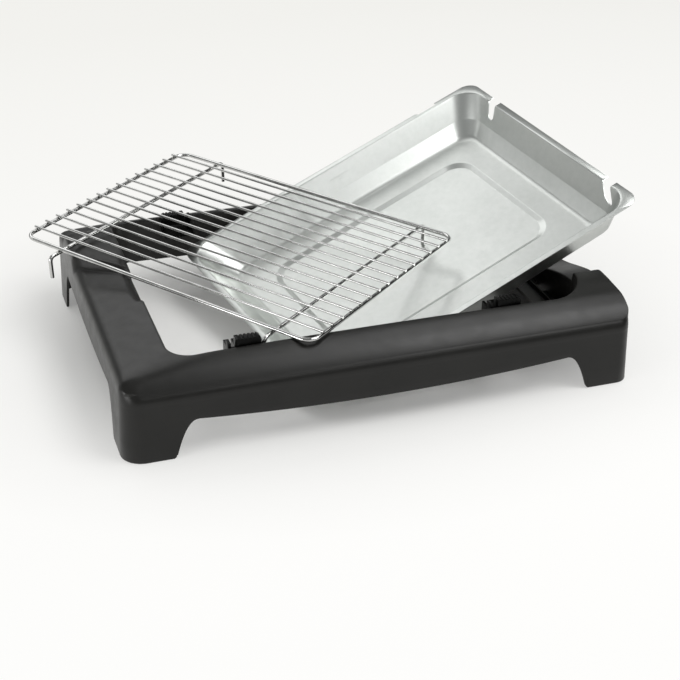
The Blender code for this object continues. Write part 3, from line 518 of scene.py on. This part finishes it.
def right_side(stations, split):
    first = [place for place in end_places(RIGHT_RADIUS, FOOT_Y) if place < BLOCK_DEPTH] + [BLOCK_DEPTH]
    slope = [BLOCK_DEPTH + BLOCK_STEP + END_RUN * share for share in (0.0, 0.15, 0.3, 0.5, 0.7, 0.85, 1.0)]
    half = finer(first, 3) + finer([BLOCK_DEPTH] + slope, 3)[1:]
    centre = Vector((LENGTH - RIGHT_RAIL - BAY_R, RAIL + BAY_R))
    for place, mirrored in [(place, False) for place in half] + [(place, True) for place in reversed(half)]:
        if place <= BLOCK_DEPTH:
            share = (place - RIGHT_RADIUS) / (BLOCK_DEPTH - RIGHT_RADIUS)
            inner = arc_point(centre, BAY_R, lerp(split, 0.0, share))
            inner_normal = (centre - inner).normalized()
        else:
            inner = Vector((LENGTH - RIGHT_RAIL, place))
            inner_normal = Vector((-1, 0))
        low = arch(place, DEPTH, FOOT_Y, RIGHT_ARCH, SIDE_SAG)
        outer = Vector((LENGTH, place))
        if mirrored:
            outer.y = DEPTH - place
            inner.y = DEPTH - inner.y
            inner_normal.y = -inner_normal.y
        stations.append((outer, inner, Vector((-1, 0)), inner_normal, low, 0.0))


def left_stations(stations):
    places = finer(side_places(LEFT_RADIUS, LEFT_RADIUS, FOOT_Y, DEPTH), 2)
    edges = [lerp(PAD_INNER - 0.008, PAD_START + 0.010, step / 44) for step in range(45)]
    ends = [PAD_START + PAD_LENGTH + PAD_END * share for share in (0.0, 0.25, 0.5, 0.75, 1.0)]
    edges += [SCOOP_START + 0.001 * step for step in range(-1, 9)]
    places = [place for place in places if all(abs(place - edge) > 0.001 for edge in edges)]
    places = sorted(places + edges + [place for place in ends if place < DEPTH - FOOT_Y], reverse=True)
    opening = RAIL + OPENING_R
    table = (
        (LEFT_RADIUS, opening),
        (PAD_START, PAD_INNER),
        (PAD_START + 0.003, PAD_INNER + 0.003),
        (DEPTH - LEFT_RADIUS, DEPTH - opening),
    )
    for y in places:
        low = arch(y, DEPTH, FOOT_Y, LEFT_ARCH, SIDE_SAG)
        inner = Vector((LEFT_RAIL, along(table, y)))
        stations.append((Vector((0, y)), inner, Vector((1, 0)), Vector((1, 0)), low, 0.0))


def all_stations():
    quarter = math.pi / 2
    split = -0.40 * quarter
    bay, far_bay = [(LENGTH - RIGHT_RAIL - BAY_R, y) for y in (RAIL + BAY_R, DEPTH - RAIL - BAY_R)]
    opening, far_opening = [(LEFT_RAIL + OPENING_R, y) for y in (RAIL + OPENING_R, DEPTH - RAIL - OPENING_R)]
    near_right, far_right = [(LENGTH - RIGHT_RADIUS, y) for y in (RIGHT_RADIUS, DEPTH - RIGHT_RADIUS)]
    near_left, far_left = [(LEFT_RADIUS, y) for y in (LEFT_RADIUS, DEPTH - LEFT_RADIUS)]
    stations = []
    long_side(stations, False)
    corner(stations, near_right, RIGHT_RADIUS, bay, BAY_R, -quarter, -quarter, split)
    right_side(stations, split)
    corner(stations, far_right, RIGHT_RADIUS, far_bay, BAY_R, 0.0, -split, quarter)
    long_side(stations, True)
    corner(stations, far_left, LEFT_RADIUS, far_opening, OPENING_R, quarter, quarter, 2 * quarter)
    left_stations(stations)
    corner(stations, near_left, LEFT_RADIUS, opening, OPENING_R, 2 * quarter, 2 * quarter, 3 * quarter)
    return stations


def section(outer, inner, normal, inner_normal, low, groove):
    """One closed slice through a rail, from the skirt over the top to the inner wall and back under it."""
    limit = end_wall(outer.y) if outer.x > LENGTH - RIGHT_RADIUS else BLOCK_TOP
    points = []

    def skirt(height, depth):
        place = outer + normal * (lean(height) + depth)
        points.append(Vector((place.x, place.y, height)))

    room = min(FOLD_Z, limit - END_ROOM)
    skirt(low, 0.0009)
    skirt(low + 0.0003, 0.0003)
    skirt(low + 0.0009, 0.0)
    skirt(lerp(low, room, 0.35), 0.0)
    skirt(lerp(low, room, 0.75), 0.0)
    for share in (0.0, 0.2, 0.4, 0.6, 0.8, 1.0):
        skirt(room + FOLD_RISE * share, -FOLD_OUT * groove * smooth(share))
    for step in range(1, 9):
        angle = math.pi / 4 * step / 8
        depth = (ROLL_R * (1.0 - math.cos(angle)) - FOLD_OUT) * groove
        skirt(room + FOLD_RISE + ROLL_R * math.sin(angle), depth)
    top = points[-1].z
    lip = Vector((points[-1].x, points[-1].y))
    edge = inner - inner_normal * FILLET
    for step in range(1, 31):
        share = (step / 30) ** 1.6
        place = lip.lerp(edge, share)
        height = top_height(place.x, place.y)
        points.append(Vector((place.x, place.y, max(height, top + 0.0001 * step / 30))))
    crest = top_height(edge.x, edge.y)
    for step in range(1, 6):
        angle = math.pi / 2 * step / 5
        place = edge + inner_normal * FILLET * math.sin(angle)
        points.append(Vector((place.x, place.y, crest - FILLET * (1.0 - math.cos(angle)))))
    for height in (lerp(crest, WALL_LOW, 0.4), WALL_LOW + 0.0006):
        points.append(Vector((inner.x, inner.y, height)))
    lining = inner - inner_normal * SHELL
    for share in (0.25, 0.75):
        place = inner - inner_normal * SHELL * share
        points.append(Vector((place.x, place.y, WALL_LOW)))
    points.append(Vector((lining.x, lining.y, WALL_LOW + 0.0006)))
    start = outer + normal * (lean(DOME_LOW) + SHELL)
    for share in (1.0, 0.84, 0.62, 0.42, 0.26, 0.14, 0.05, 0.0):
        place = start.lerp(lining, share)
        points.append(Vector((place.x, place.y, top_height(place.x, place.y, SHELL))))
    inside = min(FOLD_Z - SHELL, points[-1].z - SHELL)
    skirt(inside, SHELL)
    skirt(min(low, inside - SHELL) + 0.0006, SHELL)
    skirt(min(low, inside - SHELL), SHELL * 0.75)
    return points


def inside_opening(place):
    slack = 0.001
    across = LEFT_RAIL - slack < place.x < LENGTH - RIGHT_RAIL + slack
    return across and RAIL - slack < place.y < DEPTH - RAIL + slack


def build_shell():
    sections = [section(*station) for station in all_stations()]
    size, count = len(sections[0]), len(sections)
    points = [point for line in sections for point in line]
    faces = []
    for i in range(count):
        j = (i + 1) % count
        for k in range(size):
            n = (k + 1) % size
            faces.append((i * size + k, j * size + k, j * size + n, i * size + n))
    shell = new_mesh("stand_shell", points, faces, BLACK, ORIGIN, 42.0)
    # Near-upright faces inside the opening take the inside black, whose lighter colour is painted fill
    # light.
    shell.data.materials.append(INSIDE_PAINTED_LIGHTER)
    for face in shell.data.polygons:
        if inside_opening(face.center - ORIGIN.translation) and abs(face.normal.z) < 0.35:
            face.material_index = 1
    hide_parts("base_frame")
    return shell


def build_bay():
    """The wall between opening and bay, the bay's floor with its hole, and the two ribs on it."""
    # The bay's wall, floor and ribs all take the inside black, painted lighter as fill light for their
    # shade.
    near, far = RAIL - SHELL / 2, DEPTH - RAIL + SHELL / 2
    wall_low, wall_high = (CROSS_WALL_X, near, WALL_LOW), (CROSS_WALL_X + CROSS_WALL, far, CROSS_WALL_TOP)
    wall = box("stand_cross_wall", wall_low, wall_high, INSIDE_PAINTED_LIGHTER, ORIGIN)
    floor_low = (CROSS_WALL_X + CROSS_WALL / 2, near, BAY_FLOOR_Z - BAY_FLOOR)
    floor_high = (LENGTH - RIGHT_RAIL + SHELL / 2, far, BAY_FLOOR_Z)
    floor = box("stand_bay_floor", floor_low, floor_high, INSIDE_PAINTED_LIGHTER, ORIGIN)
    hole_low = (HOLE_X, HOLE_Y, BAY_FLOOR_Z - BAY_FLOOR - 0.004)
    hole_high = (HOLE_X + HOLE_LENGTH, HOLE_Y + HOLE_DEPTH, BAY_FLOOR_Z + 0.004)
    cut(floor, [box("hole", hole_low, hole_high, INSIDE_PAINTED_LIGHTER, ORIGIN, 0.0)])
    tidy_mesh(floor)
    pieces = [wall, floor]
    ribs = ((CROSS_WALL_X + CROSS_WALL, LEDGE_END, LEDGE_TOP), (RIB_X, RIB_X + RIB, RIB_TOP))
    for index, (left, right, top) in enumerate(ribs):
        low, high = (left, near, BAY_FLOOR_Z - 0.0004), (right, far, top)
        pieces.append(box(f"stand_bay_rib_{index + 1}", low, high, INSIDE_PAINTED_LIGHTER, ORIGIN, 0.0004))
    return pieces


def build_stand():
    for piece in [build_shell()] + build_bay():
        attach(piece, "base")


# Pressed tray
def ring(length, width, inset, radius, height, steps):
    """A rectangle with round corners, inset from the outline, at one height."""
    low, high_x, high_y = inset, length - inset, width - inset
    centres = ((high_x - radius, low + radius), (high_x - radius, high_y - radius))
    centres += ((low + radius, high_y - radius), (low + radius, low + radius))
    points = []
    for turn, centre in enumerate(centres):
        start = math.pi / 2 * (turn - 1)
        for step in range(steps + 1):
            place = arc_point(centre, radius, start + math.pi / 2 * step / steps)
            points.append(Vector((place.x, place.y, height)))
    return points


def rounded_profile(corners):
    """(inset, height, corner radius) rows of a bent line, with each bend rounded by its own radius."""
    rows = [(corners[0][0], corners[0][1], corners[0][2])]
    for before, here, after in zip(corners, corners[1:], corners[2:]):
        a = Vector((before[0] - here[0], before[1] - here[1]))
        b = Vector((after[0] - here[0], after[1] - here[1]))
        angle = a.angle(b)
        reach = min(here[3] / math.tan(angle / 2), a.length * 0.48, b.length * 0.48)
        first = Vector((here[0], here[1])) + a.normalized() * reach
        last = Vector((here[0], here[1])) + b.normalized() * reach
        middle = Vector((here[0], here[1]))
        for step in range(7):
            share = step / 6
            place = first * (1 - share) ** 2 + middle * 2 * share * (1 - share) + last * share**2
            rows.append((place.x, place.y, here[2]))
    rows.append((corners[-1][0], corners[-1][1], corners[-1][2]))
    return rows


# The sheet's middle line from flange to floor: inset, height, corner radius seen from above, bend radius
TRAY_PROFILE = (
    (0.0, -0.00045, 0.0150, 0.0),
    (0.0064, -0.00045, 0.0240, 0.0018),
    (0.0206, -0.0209, 0.0230, 0.0040),
    (0.0340, -0.0352, 0.0170, 0.0090),
    (0.0615, -0.0340, 0.0230, 0.0016),
    (0.0668, -0.0364, 0.0200, 0.0016),
    (0.0800, -0.0364, 0.0200, 0.0),
)


def tray_slots():
    """The two leaned slots for the heater's rods, each open at the top with rounded lips."""
    half, low = SLOT_HALF, SLOT_END
    wide, lip = half + SLOT_LIP + 0.0006, 0.0003
    tools = []
    for middle in (SLOT_NEAR, SLOT_FAR):
        side = [(wide + 0.0002, 0.0040), (wide, lip)]
        for angle in (0.4, 0.8, 1.2, 1.5):
            side.append((wide - SLOT_LIP * math.sin(angle), lip - SLOT_LIP * (1 - math.cos(angle))))
        outline = list(side)
        for step in range(13):
            angle = -math.pi * step / 12
            outline.append((half * math.cos(angle), -low + half * math.sin(angle)))
        outline += [(-y, z) for y, z in reversed(side)]
        lean_at = [lerp(-0.0035, 0.0025, clamp((z + 0.0140) / 0.0140)) for y, z in outline]
        leaned = [(middle + y + shift, z) for (y, z), shift in zip(outline, lean_at)]
        tools.append(prism("slot", leaned, TRAY_L - SLOT_REACH, TRAY_L + 0.004, 0, SHEET, TRAY))
    return tools


def tray_recess():
    """The short stretch where the far flange is cut back."""
    start, end = RECESS_START, RECESS_START + RECESS_LENGTH
    deep, past = TRAY_W - RECESS_DEPTH, TRAY_W + 0.004
    outline = [(start - 0.002, past), (start - 0.002, TRAY_W + 0.0001), (start + 0.0008, deep)]
    outline += [(end - 0.0008, deep), (end, past)]
    return prism("recess", outline, -0.004, 0.004, 2, SHEET, TRAY)


def build_tray():
    rows = rounded_profile(TRAY_PROFILE)
    half = TRAY_SHEET / 2
    sides = []
    for sign in (1.0, -1.0):
        side = []
        for i, (inset, height, radius) in enumerate(rows):
            before, after = rows[max(i - 1, 0)], rows[min(i + 1, len(rows) - 1)]
            run = Vector((after[0] - before[0], after[1] - before[1])).normalized()
            offset = Vector((-run.y, run.x)) * half * sign
            side.append((inset + offset.x, height + offset.y, radius))
        sides.append(side)
    lip = [(0.0, -0.0002, 0.0150), (0.0, -0.0007, 0.0150)]
    sides[0][0] = (0.0003, 0.0, 0.0147)
    sides[1][0] = (0.0003, -TRAY_SHEET, 0.0147)
    rows = list(reversed(sides[0])) + lip + sides[1]
    rings = []
    for inset, height, radius in rows:
        rings.append(ring(TRAY_L, TRAY_W, max(inset, 0.0), radius, min(height, 0.0), 12))
    count = len(rings[0])
    points = [point for line in rings for point in line]
    faces = [tuple(range(count))]
    for layer in range(len(rings) - 1):
        for i in range(count):
            j = (i + 1) % count
            first, second = layer * count, (layer + 1) * count
            faces.append((first + i, second + i, second + j, first + j))
    last = (len(rings) - 1) * count
    faces.append(tuple(last + i for i in reversed(range(count))))
    tray = new_mesh("tray_pressing", points, faces, SHEET, TRAY, 50.0)
    cut(tray, tray_slots() + [tray_recess()])
    tray.data.transform(TRAY.inverted())
    for vertex in tray.data.vertices:
        place = vertex.co
        near = 1.0 - smooth((place.y - NEAR_START) / NEAR_RUN)
        place.y = max(place.y - NEAR_STEEP * near * smooth(-place.z / NEAR_DEPTH), 0.0004)
    tray.data.transform(TRAY)
    tidy_mesh(tray, 50.0)
    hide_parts("drip_tray")
    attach(tray, "tray")


def build_level_mark():
    """A plain pressed line with a triangle under it on the far wall, where the tray's filling level is."""
    top, low = Vector((0.0075, -0.0015)), Vector((0.0200, -0.0200))
    down = (low - top).normalized()
    away = Vector((-down.y, down.x)) * -1.0

    def place(x, share, lift):
        spot = top.lerp(low, share) + away * lift
        return Vector((x, TRAY_W - spot.x, spot.y))

    line = [(0.1740, 0.40), (0.1980, 0.40), (0.1980, 0.455), (0.1740, 0.455)]
    triangle = [(0.1825, 0.62), (0.1895, 0.62), (0.1860, 0.50)]
    points, faces = [], []
    for shape in (line, triangle):
        first = len(points)
        count = len(shape)
        middle = (sum(x for x, _ in shape) / count, sum(v for _, v in shape) / count)
        for scale, lift in ((1.0, -0.0006), (1.0, 0.0002), (0.50, 0.0014)):
            for x, v in shape:
                points.append(place(lerp(middle[0], x, scale), lerp(middle[1], v, scale), lift))
        faces.append(tuple(first + i for i in range(count)))
        faces.append(tuple(first + 2 * count + i for i in reversed(range(count))))
        for layer in range(2):
            for i in range(count):
                j = (i + 1) % count
                a, b = first + layer * count, first + (layer + 1) * count
                faces.append((a + i, b + i, b + j, a + j))
    mark = new_mesh("tray_level_mark", points, faces, SHEET, TRAY, 60.0)
    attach(mark, "tray")


# Wire rack
def tube(name, path, diameter, sides, closed):
    """A round wire along a path in the rack's frame."""
    count = len(path)
    points, side = [], None
    for i, place in enumerate(path):
        before = path[i - 1] if i or closed else place
        after = path[(i + 1) % count] if i < count - 1 or closed else place
        tangent = (after - before).normalized()
        if side is None:
            side = tangent.cross(Vector((0, 0, 1)))
            side = side.normalized() if side.length > 0.1 else tangent.orthogonal().normalized()
        side = (side - tangent * side.dot(tangent)).normalized()
        up = tangent.cross(side)
        for step in range(sides):
            angle = 2.0 * math.pi * step / sides
            points.append(place + (side * math.cos(angle) + up * math.sin(angle)) * diameter / 2)
    faces = []
    for i in range(count if closed else count - 1):
        j = (i + 1) % count
        for k in range(sides):
            n = (k + 1) % sides
            faces.append((i * sides + k, i * sides + n, j * sides + n, j * sides + k))
    if not closed:
        faces.append(tuple(reversed(range(sides))))
        faces.append(tuple((count - 1) * sides + k for k in range(sides)))
    return new_mesh(name, points, faces, WIRE, RACK, 50.0)


def straight(start, end):
    """A straight wire's path, with a place close to each end so that the shading stays even."""
    return [start.lerp(end, share) for share in (0.0, 0.004, 0.5, 0.996, 1.0)]


def leg_path(x, z):
    """The path of a cross wire whose two ends bend down as legs."""
    near, far, tip = -LEG_OVER, RACK_W + LEG_OVER, z - LEG_DROP
    path = [Vector((x, near, tip)), Vector((x, near, tip + 0.001))]
    bends = []
    for step in range(13):
        angle = math.pi / 2 * step / 12
        bends.append((LEG_BEND * (1 - math.cos(angle)), z - LEG_BEND * (1 - math.sin(angle))))
    path += [Vector((x, near + out, height)) for out, height in bends]
    path += [Vector((x, far - out, height)) for out, height in reversed(bends)]
    return path + [Vector((x, far, tip + 0.001)), Vector((x, far, tip))]


def build_rack():
    rim_z = -(BAR_WIRE + WIRE_GAP) / 2
    bar_z = rim_z + (RIM_WIRE + BAR_WIRE) / 2 + WIRE_GAP
    leg_z = rim_z - (RIM_WIRE + LEG_WIRE) / 2 - WIRE_GAP
    rim = tube("rack_rim_wire", ring(RACK_L, RACK_W, 0.0, RACK_RADIUS, rim_z, 14), RIM_WIRE, 20, True)
    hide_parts("rack_rim")
    made = [rim]
    pitch = (RACK_W - 2 * BAR_EDGE) / (BAR_COUNT - 1)
    for i in range(BAR_COUNT):
        y = BAR_EDGE + pitch * i
        path = straight(Vector((-BAR_OVER, y, bar_z)), Vector((RACK_L + BAR_OVER, y, bar_z)))
        bar = tube(f"rack_bar_wire_{i + 1:02d}", path, BAR_WIRE, 16, False)
        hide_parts(f"rack_bar_{i + 1:02d}")
        made.append(bar)
    for name, x in (("left", LEG_LEFT), ("right", LEG_RIGHT)):
        wire = tube(f"rack_cross_wire_{name}", leg_path(x, leg_z), LEG_WIRE, 20, False)
        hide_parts(f"rack_leg_wire_{name}")
        made.append(wire)
    for wire in made:
        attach(wire, "rack")


def build_clips():
    """The four holders: the solids' own shapes with their edges softened."""
    for name in ("front_left", "front_right", "back_left", "back_right"):
        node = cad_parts[f"rack_support_{name}"]
        mesh = node.data.copy()
        mesh.materials.clear()
        mesh.materials.append(CLIP)
        clip = bpy.data.objects.new(f"clip_{name}", mesh)
        bpy.context.scene.collection.objects.link(clip)
        tidy_mesh(clip, 25.0)
        bevel(clip, 0.00035, 2, 40.0)
        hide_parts(node.name)
        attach(clip, "base")


build_stand()
build_tray()
build_level_mark()
build_rack()
build_clips()


# Floor, light and camera
def build_stage():
    """A white table whose far parts reach white for the camera and for reflections, with the shadow kept."""
    made = Nodes("studio_floor")
    paper = made.noise((1, 1, 1), 3.0, 3.0, 0.5)
    tints = [(0.3, (0.895, 0.890, 0.872)), (0.7, (0.910, 0.905, 0.888))]
    made.link(made.ramp(paper, tints), made.shader.inputs["Base Color"])
    made.set(Roughness=0.75, Specular_IOR_Level=0.25)
    length = made.add("ShaderNodeVectorMath", operation="LENGTH")
    made.link(made.coords((1.0, 1.25, 1.0)), length.inputs[0])
    far = made.remap(length.outputs["Value"], 0.22, 0.47, 0.12, 0.90)
    path = made.add("ShaderNodeLightPath")
    seen = path.outputs["Is Camera Ray"]
    for name in ("Is Glossy Ray", "Is Transmission Ray"):
        either = made.add("ShaderNodeMath", operation="MAXIMUM")
        made.link(seen, either.inputs[0])
        made.link(path.outputs[name], either.inputs[1])
        seen = either.outputs[0]
    share = made.add("ShaderNodeMath", operation="MULTIPLY")
    made.link(seen, share.inputs[0])
    made.link(far, share.inputs[1])
    split = made.add("ShaderNodeSeparateXYZ")
    made.link(made.coords((1, 1, 1)), split.inputs[0])
    # The white glow is painted a little darker towards the back, as painted light falloff.
    depth = made.remap(split.outputs["Y"], -0.9, 1.6, 0.0, 1.0)
    glow = made.add("ShaderNodeEmission")
    falloff_whites = [(0.2, (1.000, 0.998, 0.985)), (0.8, (0.915, 0.910, 0.878))]
    made.link(made.ramp(depth, falloff_whites), glow.inputs["Color"])
    both = made.add("ShaderNodeMixShader")
    made.link(share.outputs[0], both.inputs["Fac"])
    made.link(made.shader.outputs["BSDF"], both.inputs[1])
    made.link(glow.outputs["Emission"], both.inputs[2])
    made.link(both.outputs[0], made.tree.nodes["Material Output"].inputs["Surface"])
    size, level = 6.0, -0.0002
    points = [(x * size, y * size, level) for x, y in ((-1, -1), (1, -1), (1, 1), (-1, 1))]
    mesh = bpy.data.meshes.new("floor")
    mesh.from_pydata(points, [], [(0, 1, 2, 3)])
    floor = bpy.data.objects.new("floor", mesh)
    bpy.context.scene.collection.objects.link(floor)
    mesh.materials.append(made.material)


def softbox(name, turn, rise, away, width, height, glow):
    """A rectangular light at a compass turn and rise seen from the object, as bright as glow says."""
    light = bpy.data.lights.new(name, "AREA")
    light.shape = "RECTANGLE"
    light.size, light.size_y = width, height
    light.energy = glow * math.pi * width * height
    obj = bpy.data.objects.new(name, light)
    bpy.context.scene.collection.objects.link(obj)
    turn, rise = math.radians(turn), math.radians(rise)
    towards = Vector((math.sin(turn) * math.cos(rise), math.cos(turn) * math.cos(rise), math.sin(rise)))
    target = Vector((0.0, 0.0, 0.06))
    obj.location = target + towards * away
    obj.rotation_mode = "QUATERNION"
    obj.rotation_quaternion = (-towards).to_track_quat("-Z", "Y")


def build_world():
    """A dim even room that is darker on one side, and pale where the camera sees it."""
    world = bpy.data.worlds.new("studio")
    bpy.context.scene.world = world
    world.use_nodes = True
    tree = world.node_tree
    background = tree.nodes["Background"]
    background.inputs["Color"].default_value = (0.98, 1.0, 0.99, 1.0)
    place = tree.nodes.new("ShaderNodeTexCoord")
    side = tree.nodes.new("ShaderNodeVectorMath")
    side.operation = "DOT_PRODUCT"
    side.inputs[1].default_value = DARK_SIDE
    tree.links.new(place.outputs["Generated"], side.inputs[0])
    dim = tree.nodes.new("ShaderNodeMapRange")
    edges = (("From Min", 0.72), ("From Max", 0.95), ("To Min", WORLD_GLOW), ("To Max", DARK_GLOW))
    for key, number in edges:
        dim.inputs[key].default_value = number
    tree.links.new(side.outputs["Value"], dim.inputs["Value"])
    path = tree.nodes.new("ShaderNodeLightPath")
    seen = tree.nodes.new("ShaderNodeMapRange")
    seen.inputs["To Max"].default_value = BACKDROP_GLOW
    tree.links.new(path.outputs["Is Camera Ray"], seen.inputs["Value"])
    tree.links.new(dim.outputs["Result"], seen.inputs["To Min"])
    tree.links.new(seen.outputs["Result"], background.inputs["Strength"])


def build_camera():
    data = bpy.data.cameras.new("camera")
    data.sensor_width = 36.0
    data.lens = CAMERA_LENS
    data.clip_start, data.clip_end = 0.05, 50.0
    camera = bpy.data.objects.new("camera", data)
    bpy.context.scene.collection.objects.link(camera)
    turn = Matrix.Rotation(math.radians(-CAMERA_TURN), 4, "Z")
    tip = Matrix.Rotation(math.radians(90.0 - CAMERA_DIP), 4, "X")
    roll = Matrix.Rotation(math.radians(CAMERA_ROLL), 4, "Z")
    camera.matrix_world = Matrix.Translation(CAMERA_PLACE) @ turn @ tip @ roll
    bpy.context.scene.camera = camera


build_stage()
for name, values in SOFTBOXES.items():
    softbox(f"softbox_{name}", *values)
build_world()
build_camera()

bpy.context.scene.view_settings.view_transform = "Standard"
